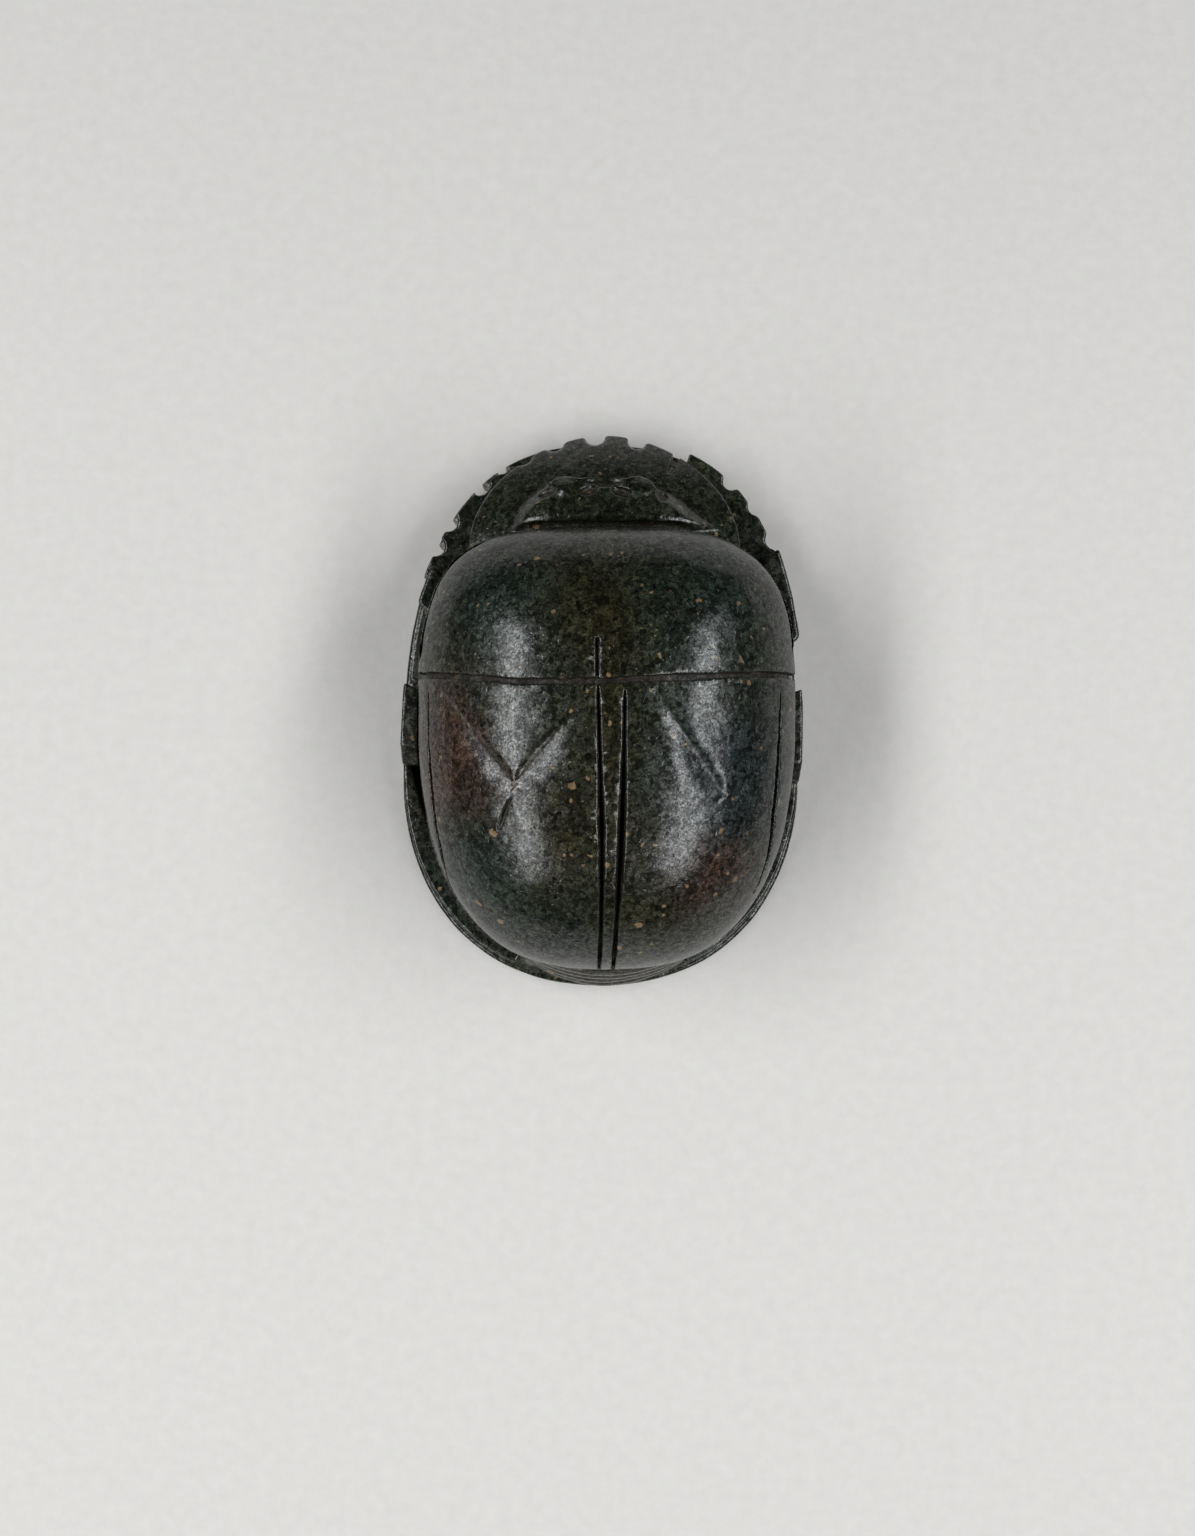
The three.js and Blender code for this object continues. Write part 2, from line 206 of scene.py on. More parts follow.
# The cuts along the outer margins of the wing cases: x and y along each.
LEFT_MARGIN = [
    (-16.65, 1.0), (-16.6, -2.5), (-16.5, -5.4), (-16.33, -8.3), (-16.12, -11.2), (-15.72, -14.15),
    (-15.37, -16.2), (-14.95, -18.6),
]
RIGHT_MARGIN = [
    (17.24, 0.95), (17.1, -1.7), (16.95, -4.2), (16.8, -7.3), (16.58, -10.4), (16.5, -12.9),
    (16.2, -15.4), (15.1, -18.4),
]

# V cuts on the shoulders of the wing cases, seen from above: start, end, width of the facet left of the
# way from start to end, width of the facet right of it, and depth.
V_CUTS = [
    ((-15.3, 1.3), (-7.75, -7.75), 0.5, 2.1, 0.4),
    ((-2.3, -0.9), (-7.95, -7.55), 2.1, 0.5, 0.38),
    ((4.85, 0.95), (11.4, -8.65), 0.85, 1.9, 0.4),
    ((16.2, -3.4), (12.3, -8.9), 0.5, 0.9, 0.12),
]

# The leaf-shaped nick below the left V, and the line down the middle of the prothorax: x and y of each
# nick's ends, then x, middle y, half width, half length and depth of the line.
LEAF = [(-8.2, -8.6), (-9.5, -12.0)]
MEDIAN_LINE = (-0.36, 3.7, 0.1, 1.9, 0.4)

# The raised crown of the head, seen from above.
CROWN = [
    (-9.6, 18.9), (-9.27, 19.25), (-8.56, 20.6), (-7.35, 21.85), (-6.13, 22.75), (-5.32, 23.2),
    (-4.5, 23.65), (-3.7, 23.85), (-2.9, 23.75), (-2.25, 23.6), (0.4, 23.65), (2.6, 23.57), (3.2, 23.77),
    (4.0, 23.85), (4.8, 23.55), (5.35, 23.05), (5.75, 22.4), (7.0, 22.2), (8.45, 21.25), (9.45, 20.45),
    (10.65, 19.95), (12.05, 19.4), (13.7, 18.85), (13.7, 17.6), (-9.6, 17.6),
]

# The bulges of the eyes on the crown: x, y, radius and height.
EYES = [(-3.6, 22.45, 1.4, 0.35), (4.1, 22.4, 1.45, 0.35)]

# Hollows carved in the crown: x, y, half length, half width, turn in radians and depth.
HOLLOWS = [
    (0.3, 23.05, 2.5, 0.75, 0.0, 0.5),
    (-1.15, 22.1, 1.25, 0.65, 0.3, 0.55),
    (2.05, 21.95, 1.3, 0.7, -0.35, 0.6),
    (-5.5, 21.85, 1.3, 0.6, 0.5, 0.5),
    (6.3, 21.6, 1.0, 0.7, -0.8, 0.55),
]

# The slot between the face and the right cheek: x and y from its mouth to its narrow end.
CHEEK_SLOT = [(8.5, 28.2, 0), (7.85, 26.5, 0), (7.15, 24.5, 0)]

# Notches in the edge of the face: x, y and radius.
FACE_NOTCHES = [(-8.35, 27.15, 0.95), (-5.05, 28.95, 1.0), (-0.57, 29.65, 1.0), (3.95, 29.1, 1.0)]

# Each side's legs. Bearings are in degrees about the middle of the base oval, from the head towards the
# tail. Insets are from the base oval's edge, in pairs for the leg's front and rear end. Notches are x, y
# and radius.
LEGS = [
    {
        "side": -1,
        "shin": (15.5, 42.0), "shin_outer": (1.2, 0.4),
        "notches": [(-10.6, 26.2, 0.8), (-12.95, 24.1, 1.05), (-16.3, 20.2, 1.05), (-17.6, 17.5, 0.95)],
        "thigh": (38.7, 47.0), "thigh_outer": (1.1, 0.9), "thigh_top": (8.4, 8.8),
        "middle": (65.0, 87.5), "middle_outer": (0.9, 0.55), "middle_inner": (2.5, 2.45),
    },
    {
        "side": 1,
        "shin": (15.5, 42.0), "shin_outer": (-0.1, -0.4),
        "notches": [(14.05, 24.5, 0.95), (16.7, 21.8, 0.95), (18.6, 18.2, 0.95)],
        "thigh": (38.0, 55.7), "thigh_outer": (-0.35, -0.1), "thigh_top": (8.6, 8.8),
        "middle": (67.0, 92.5), "middle_outer": (0.45, 0.55), "middle_inner": (1.9, 2.0),
    },
]


def plate_distance(z, base_edge):
    return rounded([base_edge, np.abs(z - PLATE / 2) - PLATE / 2], 0.45)


def flank_distance(y, z, base_edge, back_edge):
    top = rim_height(y)
    share = np.clip((z - PLATE) / (top - PLATE), 0, 1)
    inward = 1 - (1 - share) ** 1.8
    side = (base_edge + 0.8) * (1 - inward) + (back_edge + 1.1) * inward
    return np.maximum.reduce([side * 0.9, z - top, ROOT - z])


def back_distance(y, z, scale, growth):
    """The domed back: an oval in plan, whose section is given by its shoulder and crest."""
    rim = rim_height(y)
    rise = HEIGHT - rim
    share = np.maximum((z - rim) / rise, 0)
    excess = scale ** SHOULDER + share ** CREST - 1
    slope = np.hypot(SHOULDER * scale ** (SHOULDER - 1) * growth, CREST * share ** (CREST - 1) / rise)
    dome = excess / np.maximum(slope, 0.03)
    return -join(-dome, z - (rim - 0.9), 0.35)


def crown_distance(x, y, z):
    """The raised crown: crisp in front, with long soft slopes at its two wings, eyes and hollows on top."""
    edge = outline_distance(x, y, CROWN)
    off_centre = np.abs(x - 0.4)
    top = face_height(x, y) + 1.75 + 0.1 * (y - 21.0) - 0.16 * np.maximum(off_centre - 5.6, 0)
    for cx, cy, radius, height in EYES:
        top = top + height * smooth_step(1.25 * (1 - np.hypot(x - cx, y - cy) / radius))
    for cx, cy, half_x, half_y, turn, depth in HOLLOWS:
        along = (x - cx) * np.cos(turn) + (y - cy) * np.sin(turn)
        across = (y - cy) * np.cos(turn) - (x - cx) * np.sin(turn)
        reach = np.hypot(along / half_x, across / half_y)
        top = top - depth * smooth_step(1.5 * (1 - reach))
    above = (z - top) * 0.9
    crisp = rounded([edge, above], 0.28)
    drop = 1.2 * smooth_step((off_centre - 5.0) / 1.6)
    slope = (above + drop * (1 + edge / 1.35)) / np.sqrt(1 + (drop / 1.35) ** 2)
    return np.maximum(-join(-crisp, -slope, 0.25), 7.0 - z)


def dome_height(x, y):
    scale, _, _ = oval_edge(np.array([float(x)]), np.array([float(y)]), BACK)
    rim = rim_height(y)
    return rim + (HEIGHT - rim) * max(0.0, 1 - scale[0] ** SHOULDER) ** (1 / CREST)


def head_distance(x, y, z, head_edge):
    height = np.maximum((z - face_height(x, y)) * 0.85, ROOT - z)
    body = rounded([head_edge, height], 0.2)
    body = join(body, crown_distance(x, y, z), 0.12)
    for nx, ny, radius in FACE_NOTCHES:
        body = cut(body, np.hypot(x - nx, y - ny) - radius, 0.6)
    slot, along = near_path(x, y, z * 0, CHEEK_SLOT)
    floor = 3.6 + 5.0 * smooth_step(along * 1.2 - 0.3)
    return cut(body, np.maximum(slot - (0.55 - 0.38 * along), floor - z), 0.1)


def leg_bar(bearing, inset, z, reach, span, outer, inner, bottom, top, radius):
    start, end = span
    share = np.clip((bearing - start) / (end - start), 0, 1)
    middle = (start + end) / 2
    lengthways = (np.abs(bearing - middle) - (end - start) / 2) * reach * np.pi / 180
    outside = outer[0] + (outer[1] - outer[0]) * share
    inside = inner[0] + (inner[1] - inner[0]) * share
    high = top[0] + (top[1] - top[0]) * share
    across = np.maximum(outside - inset, inset - inside)
    return rounded([lengthways, across, np.maximum(z - high, bottom - z)], radius)


def legs_distance(x, y, z, base_edge):
    body = np.full(x.shape, 1e3)
    reach = np.hypot(x, y - BASE[1])
    inset = -base_edge
    for leg in LEGS:
        bearing = np.degrees(np.arctan2(x * leg["side"], y - BASE[1]))
        bearing = np.where(bearing < -90, bearing + 360, bearing)
        bar = lambda *shape: leg_bar(bearing, inset, z, reach, *shape)
        shin = bar(leg["shin"], leg["shin_outer"], (7, 7), LEG_ROOT, (6.0, 6.6), 0.2)
        thigh = bar(leg["thigh"], leg["thigh_outer"], (5, 5), LEG_ROOT, leg["thigh_top"], 0.45)
        fore = join(shin, thigh, 0.15)
        for nx, ny, radius in leg["notches"]:
            hole = np.maximum(np.hypot(x - nx, y - ny) - radius, 3.35 - z)
            fore = cut(fore, hole, 0.35)
        middle = bar(leg["middle"], leg["middle_outer"], leg["middle_inner"], LEG_ROOT, (9.5, 8.6), 0.25)
        slope = (bearing - leg["middle"][1] + 5.5) * reach * np.pi / 180 * 0.7 + (z - 8.7) * 0.7
        middle = cut(middle, -slope, 0.3)
        hind = bar((86, 156), (0.55, 1.1), (1.35, 6.4), LEG_ROOT, (6.4, 4.9), 0.35)
        body = np.minimum.reduce([body, fore, middle, hind])
    return body


def ring_step(z):
    """The ring of the tail that each height is on, counted from the plate, and how far up that ring."""
    ring = np.clip((z - PLATE) / (TAIL_TOP - PLATE), 0, 0.9999) * TAIL_RINGS
    number = np.floor(ring)
    return number, ring - number


def tail_distance(x, y, z):
    """The end of the abdomen: a wall that rises from the plate in four stepped rings."""
    number, step = ring_step(z)
    cx, cy = TAIL_CENTRE
    rear = 13.85 - 0.68 * number - 0.12 * step - 0.56 * smooth_step((step - 0.45) / 0.55)
    reach = np.where(y < cy, rear, 3.0)
    scale = np.maximum(np.hypot((x - cx) / TAIL_HALF_WIDTH, (y - cy) / reach), 1e-4)
    side = (scale - 1) * np.hypot(x - cx, y - cy) / scale
    return np.maximum.reduce([side * 0.8, z - TAIL_TOP, ROOT - z])


def cut_back(x, y, z, back):
    """The back with its saw cuts and V cuts. Each cut follows the uncut surface."""
    under = back
    carved = back
    for seam in (LEFT_SEAM, RIGHT_SEAM):
        middle = table(y, [(py, px) for py, px, _ in seam])
        half = table(y, [(py, width) for py, _, width in seam])
        half = half * smooth_step((seam[0][0] - y) / 1.2 + 0.1)
        groove = wedge(x - middle, half + 0.06, half + 0.06, 0.5 + 3.6 * half, under)
        groove = np.where(y > seam[0][0], np.maximum(groove, y - seam[0][0]), groove)
        carved = cut(carved, groove, 0.05)
    for margin in (LEFT_MARGIN, RIGHT_MARGIN):
        margin = [(px, py, dome_height(px, py)) for px, py in margin]
        distance, along = near_path(x, y, z, margin)
        lateral = np.sqrt(np.maximum(distance ** 2 - under ** 2, 0))
        fullness = 0.35 + 0.65 * np.sin(np.pi * along ** 1.2)
        carved = cut(carved, np.maximum(lateral - 0.34 * fullness, -(under + 1.8 * fullness)), 0.04)
    for start, end, outer, inner, depth in V_CUTS:
        ex, ey = end[0] - start[0], end[1] - start[1]
        length = np.hypot(ex, ey)
        ex, ey = ex / length, ey / length
        along = (x - start[0]) * ex + (y - start[1]) * ey
        across = (x - start[0]) * ey - (y - start[1]) * ex
        fullness = 0.08 + 0.92 * smooth_step(along / length * 1.5)
        fullness = fullness * (0.3 + 0.7 * smooth_step((length - along) / 2.0))
        groove = wedge(across, outer * fullness, inner * fullness, depth * fullness, under)
        groove = np.maximum.reduce([groove, along - length, -along])
        carved = cut(carved, groove, 0.22)
    leaf, along = near_path(x, y, z, [(px, py, dome_height(px, py)) for px, py in LEAF])
    lateral = np.sqrt(np.maximum(leaf ** 2 - under ** 2, 0))
    fullness = 0.2 + 0.8 * np.sin(np.pi * along)
    carved = cut(carved, wedge(lateral, 0.28 * fullness, 0.28 * fullness, 0.45 * fullness, under), 0.06)
    line_x, line_y, half_width, half_length, depth = MEDIAN_LINE
    line = np.maximum(np.abs(x - line_x) - half_width, np.abs(y - line_y) - half_length)
    return cut(carved, np.maximum(line, -(under + depth)), 0.03)


def scarab_distance(points):
    """Signed distance, near the surface, from points in millimetres to the carved stone."""
    x, y, z = points[:, 0], points[:, 1], points[:, 2]
    wobble = 0.07 * noise(x, y, z, 5.0, 1) + 0.035 * noise(x, y, z, 1.7, 2)
    _, _, base_edge = oval_edge(x, y, BASE)
    scale, growth, back_edge = oval_edge(x, y, BACK)
    _, _, head_edge = oval_edge(x, y, HEAD)

    back = back_distance(y, z, scale, growth)
    height = z - rim_height(y)
    ends = smooth_step((y - 3.6) / 2.0) * smooth_step((17.6 - y) / 2.0)
    wide = np.where(x < 0, 0.34, 0.26) * ends
    channel = np.hypot(back_edge + 0.1 + wide, height - np.clip(height, 0.45, 4.5)) - wide
    back = cut(back, np.where(ends > 0.02, channel, 1e3), 0.14)
    whole = back
    back = cut_back(x, y, z, back)

    flank = flank_distance(y, z, base_edge, back_edge)
    body = join(flank, back, 0.12)
    neck = np.abs(y - table(x, NECK_CUT)) - (0.3 + 0.06 * noise(x, y, z, 0.9, 3))
    floor = -(np.minimum(whole, flank) + 0.85 + 0.15 * noise(x, y, z, 1.1, 4))
    body = cut(body, np.maximum(neck, floor), 0.06)

    head = head_distance(x, y, z, head_edge)
    bank = ((back_edge - 0.1) * 1.2 - (z - 12.1)) / 1.56
    collar = np.minimum(np.hypot(back_edge - 0.3, (z - 12.4) * 0.8) - 0.5, bank)
    head = cut(head, np.where(y > 12, collar, 1e3), 0.25)
    body = join(body, head, 0.15)

    body = join(body, tail_distance(x, y, z), 0.12)
    body = join(body, legs_distance(x, y, z, base_edge), 0.15)
    body = join(body, plate_distance(z, base_edge), 0.3)
    # The notches also bite through the plate's edge, a little narrower than above it.
    for leg in LEGS:
        for nx, ny, radius in leg["notches"]:
            body = cut(body, np.hypot(x - nx, y - ny) - 0.72 * radius, 0.3)
    return np.maximum(body + wobble * smooth_step((z - 0.6) / 1.5), -z)


def evaluate(points, chunk=400000):
    return np.concatenate([scarab_distance(points[i:i + chunk]) for i in range(0, len(points), chunk)])


CORNERS = np.array([(i, j, k) for i in (0, 1) for j in (0, 1) for k in (0, 1)])
LOWEST = np.array([-23.2, -31.2, -0.8])
HIGHEST = np.array([23.2, 31.2, 27.2])


def crossed_cells(voxel, levels=4):
    """Cells of the finest grid near the surface, found by halving ever fewer coarse ones."""
    size = voxel * 2 ** levels
    counts = np.ceil((HIGHEST - LOWEST) / size).astype(int)
    cells = np.stack(np.meshgrid(*[np.arange(n) for n in counts], indexing="ij"), -1).reshape(-1, 3)
    for level in range(levels):
        centres = LOWEST + (cells + 0.5) * size
        cells = cells[np.abs(evaluate(centres)) < 1.1 * size + 0.15]
        cells = (cells[:, None, :] * 2 + CORNERS).reshape(-1, 3)
        size /= 2
    return cells


def surface_mesh(voxel):
    """Points and four-sided faces on the surface: one point in each cell that the surface crosses."""
    cells = crossed_cells(voxel)
    span = cells.max(0) + 3
    index_of = lambda c: (c[..., 0] * span[1] + c[..., 1]) * span[2] + c[..., 2]
    corner_ids = index_of(cells[:, None, :] + CORNERS)
    ids, inverse = np.unique(corner_ids, return_inverse=True)
    corners = np.stack([ids // (span[1] * span[2]), ids // span[2] % span[1], ids % span[2]], -1)
    values = evaluate(LOWEST + corners * voxel)[inverse.reshape(corner_ids.shape)]
    crossed = (values.min(1) < 0) & (values.max(1) >= 0)
    cells, values = cells[crossed], values[crossed]
    total = np.zeros((len(cells), 3))
    count = np.zeros(len(cells))
    for a in range(8):
        for axis in range(3):
            if CORNERS[a][axis]:
                continue
            b = a + (4, 2, 1)[axis]
            va, vb = values[:, a], values[:, b]
            hit = (va < 0) != (vb < 0)
            t = np.where(hit, va / np.where(hit, va - vb, 1), 0)
            place = np.repeat(CORNERS[a][None, :].astype(float), len(cells), 0)
            place[:, axis] = t
            total += place * hit[:, None]
            count += hit
    points = LOWEST + (cells + total / count[:, None]) * voxel

    cell_ids = index_of(cells)
    order = np.argsort(cell_ids)
    ordered = cell_ids[order]
    faces = []
    for axis, b in ((0, 4), (1, 2), (2, 1)):
        va, vb = values[:, 0], values[:, b]
        hit = np.nonzero((va < 0) != (vb < 0))[0]
        second, third = [a for a in range(3) if a != axis]
        ring = np.zeros((4, 3), int)
        ring[1, second] = ring[2, second] = -1
        ring[2, third] = ring[3, third] = -1
        around = index_of(cells[hit][:, None, :] + ring)
        found = np.clip(np.searchsorted(ordered, around), 0, len(ordered) - 1)
        whole = (ordered[found] == around).all(1)
        quads = order[found][whole]
        outward = (va[hit][whole] < 0) ^ (axis == 1)
        faces.append(np.where(outward[:, None], quads, quads[:, ::-1]))
    return points, np.concatenate(faces)


def gradient(points, reach):
    total = 0.0
    slope = np.zeros(points.shape)
    for axis in range(3):
        offset = np.zeros(3)
        offset[axis] = reach
        ahead, behind = evaluate(points + offset), evaluate(points - offset)
        slope[:, axis] = (ahead - behind) / (2 * reach)
        total = total + ahead + behind
    return slope, total


def settle(points, rounds, voxel):
    """Move points onto the surface, each by no more than part of a cell."""
    for _ in range(rounds):
        slope, _ = gradient(points, 0.02)
        size = np.maximum((slope ** 2).sum(1), 0.05)
        move = slope * (evaluate(points) / size)[:, None]
        length = np.linalg.norm(move, axis=1)
        points = points - move * np.minimum(1, 0.5 * voxel / np.maximum(length, 1e-9))[:, None]
    return points


def tones(x, y, z):
    """The stone's slow changes of colour, as one colour for each point."""
    warp_x = x + 1.6 * noise(x, y, z, 4.0, 21) + 0.7 * noise(x, y, z, 1.5, 22)
    warp_y = y + 1.6 * noise(x, y, z, 4.0, 23) + 0.7 * noise(x, y, z, 1.5, 24)
    colour = np.zeros((len(x), 3)) + GREEN
    for centre, radii, shade, strength in PATCHES:
        distance = np.hypot((warp_x - centre[0]) / radii[0], (warp_y - centre[1]) / radii[1])
        weight = (strength * np.exp(-distance ** 2))[:, None]
        colour = colour * (1 - weight) + np.array(shade) * weight
    return colour


GREEN = (0.0160, 0.0200, 0.0120)
OLIVE = (0.0200, 0.0155, 0.0055)
BROWN = (0.0300, 0.0180, 0.0090)
RED_BROWN = (0.0520, 0.0230, 0.0150)
TEAL = (0.0130, 0.0240, 0.0205)
BLUE = (0.0120, 0.0190, 0.0240)

# Patches of colour seen from above: centre, reach along x and y, colour, strength.
PATCHES = [
    ((0.0, 8.0), (5.0, 6.0), OLIVE, 0.75),
    ((-9.0, 8.0), (4.0, 6.0), TEAL, 0.6),
    ((10.0, 9.0), (4.5, 6.0), TEAL, 0.6),
    ((-14.0, -5.0), (4.5, 6.5), RED_BROWN, 0.85),
    ((-11.0, -8.0), (4.0, 4.0), BROWN, 0.5),
    ((-12.0, -16.0), (4.0, 5.0), TEAL, 0.7),
    ((-4.0, -21.0), (5.0, 4.0), TEAL, 0.5),
    ((-4.0, -12.0), (3.0, 8.0), OLIVE, 0.8),
    ((1.0, -8.0), (2.0, 14.0), OLIVE, 0.8),
    ((5.0, -14.0), (2.5, 7.0), OLIVE, 0.5),
    ((11.0, -8.0), (5.0, 7.0), BLUE, 0.8),
    ((10.5, -16.0), (4.0, 3.2), RED_BROWN, 0.75),
    ((6.0, -20.0), (4.0, 3.0), OLIVE, 0.5),
    ((0.0, 24.0), (12.0, 4.0), (0.0125, 0.0150, 0.0080), 0.8),
]
# Brown of earth in the cuts, also used as painted shade on the tail's ledges.
EARTH_AND_LEDGE_SHADE = (0.018, 0.0118, 0.008)


def carved_mesh():
    points, quads = surface_mesh(VOXEL)
    points = settle(points, 2, VOXEL)
    mesh = bpy.data.meshes.new("raw")
    mesh.from_pydata([], [], [])
    mesh.vertices.add(len(points))
    mesh.vertices.foreach_set("co", (points * MM).ravel())
    mesh.loops.add(quads.size)
    mesh.loops.foreach_set("vertex_index", quads.ravel())
    mesh.polygons.add(len(quads))
    mesh.polygons.foreach_set("loop_start", np.arange(0, quads.size, 4))
    mesh.update(calc_edges=True)
    raw = bpy.data.objects.new("raw", mesh)
    bpy.context.scene.collection.objects.link(raw)
    triangles = 2 * len(quads)
    if triangles > MOST_TRIANGLES:
        thin = raw.modifiers.new("thin", "DECIMATE")
        thin.ratio = MOST_TRIANGLES / triangles
        thin.use_collapse_triangulate = True
    evaluated = raw.evaluated_get(bpy.context.evaluated_depsgraph_get())
    mesh = bpy.data.meshes.new_from_object(evaluated)
    bpy.data.objects.remove(raw)
    mesh.name = "scarab_stone"

    points = np.empty(len(mesh.vertices) * 3)
    mesh.vertices.foreach_get("co", points)
    points = points.reshape(-1, 3) / MM
    points = np.clip(points, cad_low, cad_high)
    mesh.vertices.foreach_set("co", (points * MM).ravel())
    mesh.polygons.foreach_set("use_smooth", np.ones(len(mesh.polygons), bool))
    mesh.update()
    return mesh


def paint(mesh):
    """Give each point of the mesh its stone colour, and masks for worn edges lit as a painted highlight,
    for earth in the cuts with painted shade on the tail's ledges, and for painted highlights in the notches
    and along the tail's rings.
    """
    points = np.empty(len(mesh.vertices) * 3)
    mesh.vertices.foreach_get("co", points)
    points = points.reshape(-1, 3) / MM
    x, y, z = points.T
    reach = 0.22
    _, around = gradient(points, reach)
    bend = (around - 6 * evaluate(points)) / (2 * reach)
    _, wide = gradient(points, 0.7)
    bend_wide = (wide - 6 * evaluate(points)) / 1.4
    neck = smooth_step(1.6 - np.abs(y - table(x, NECK_CUT)) / 0.34) * smooth_step(-bend * 2 + 0.9) * (z > 9)
    # Lighter convex edges: partly wear, partly a painted highlight where sharp edges catch light.
    wear_and_edge_highlight = smooth_step(bend * 1.6 - 0.22) * (0.8 - 0.55 * smooth_step(z - 14.0))
    # Earth in creases, hollows and the neck cut; painted shade on the tail's ledges is added below.
    earth_and_ledge_shade = np.clip(smooth_step(-bend * 1.3 - 0.12) + 0.6 * smooth_step(-bend_wide * 1.5 - 0.1) + neck, 0, 1)
    painted_highlight = np.zeros(len(points))
    # Painted highlight: a pale crescent round each notch, standing in for its lit wall.
    for leg in LEGS:
        for nx, ny, radius in leg["notches"]:
            ring = np.hypot(x - nx, y - ny) / radius
            pale = smooth_step((1.25 - ring) * 5) * (0.35 + 0.65 * smooth_step(ring * 4 - 2.2))
            painted_highlight = np.maximum(painted_highlight, pale * (z < 5.6))
    # Tail rings: a painted light line round the middle of each ring and painted shade on the ledge at its
    # top.
    _, step = ring_step(z)
    ledge = (np.abs(tail_distance(x, y, z)) < 0.16) & (y < -21) & (z > PLATE + 0.2) & (z < TAIL_TOP)
    painted_highlight = np.maximum(painted_highlight, 0.9 * ledge * smooth_step(1.6 - np.abs(step - 0.5) / 0.11))
    earth_and_ledge_shade = np.maximum(earth_and_ledge_shade, ledge * smooth_step((step - 0.72) * 9))
    for name, values in (("wear_and_edge_highlight", wear_and_edge_highlight), ("earth_and_ledge_shade", earth_and_ledge_shade), ("painted_highlight", painted_highlight)):
        layer = mesh.attributes.new(name, "FLOAT", "POINT")
        layer.data.foreach_set("value", values.astype(np.float32))
    colour = np.ones((len(points), 4), np.float32)
    colour[:, :3] = tones(x, y, z)
    layer = mesh.attributes.new("tone", "FLOAT_COLOR", "POINT")
    layer.data.foreach_set("color", colour.ravel())


def make_stone():
    mesh = carved_mesh()
    paint(mesh)
    stone = bpy.data.objects.new("scarab_stone", mesh)
    bpy.context.scene.collection.objects.link(stone)
    return stone


class Nodes:
    """Short calls for building a material's node tree."""

    def __init__(self, material):
        material.use_nodes = True
        self.tree = material.node_tree
        self.tree.nodes.clear()

    def add(self, kind, inputs=None, **settings):
        node = self.tree.nodes.new(kind)
        for name, value in settings.items():
            setattr(node, name, value)
        for name, value in (inputs or {}).items():
            self.set(node.inputs[name], value)
        return node

    def set(self, socket, value):
        if isinstance(value, bpy.types.NodeSocket):
            self.tree.links.new(value, socket)
        elif isinstance(value, tuple) and socket.type == "RGBA":
            socket.default_value = (*value, 1.0)
        else:
            socket.default_value = value

    def math(self, operation, a, b=0.0, clamp=False):
        return self.add("ShaderNodeMath", {0: a, 1: b}, operation=operation, use_clamp=clamp).outputs[0]

    def ramp(self, value, low, high):
        node = self.add("ShaderNodeMapRange", {"Value": value, "From Min": low, "From Max": high})
        return node.outputs["Result"]

    def mix(self, share, a, b):
        node = self.add("ShaderNodeMix", data_type="RGBA")
        self.set(node.inputs["Factor"], share)
        self.set(node.inputs[6], a)
        self.set(node.inputs[7], b)
        return node.outputs[2]

    def noise(self, place, scale, detail=2.0, roughness=0.5):
        inputs = {"Vector": place, "Scale": scale, "Detail": detail, "Roughness": roughness}
        return self.add("ShaderNodeTexNoise", inputs).outputs["Fac"]

    def grains(self, place, scale, randomness=1.0):
        inputs = {"Vector": place, "Scale": scale, "Randomness": randomness}
        return self.add("ShaderNodeTexVoronoi", inputs)

    def attribute(self, name, output="Fac"):
        return self.add("ShaderNodeAttribute", attribute_name=name).outputs[output]


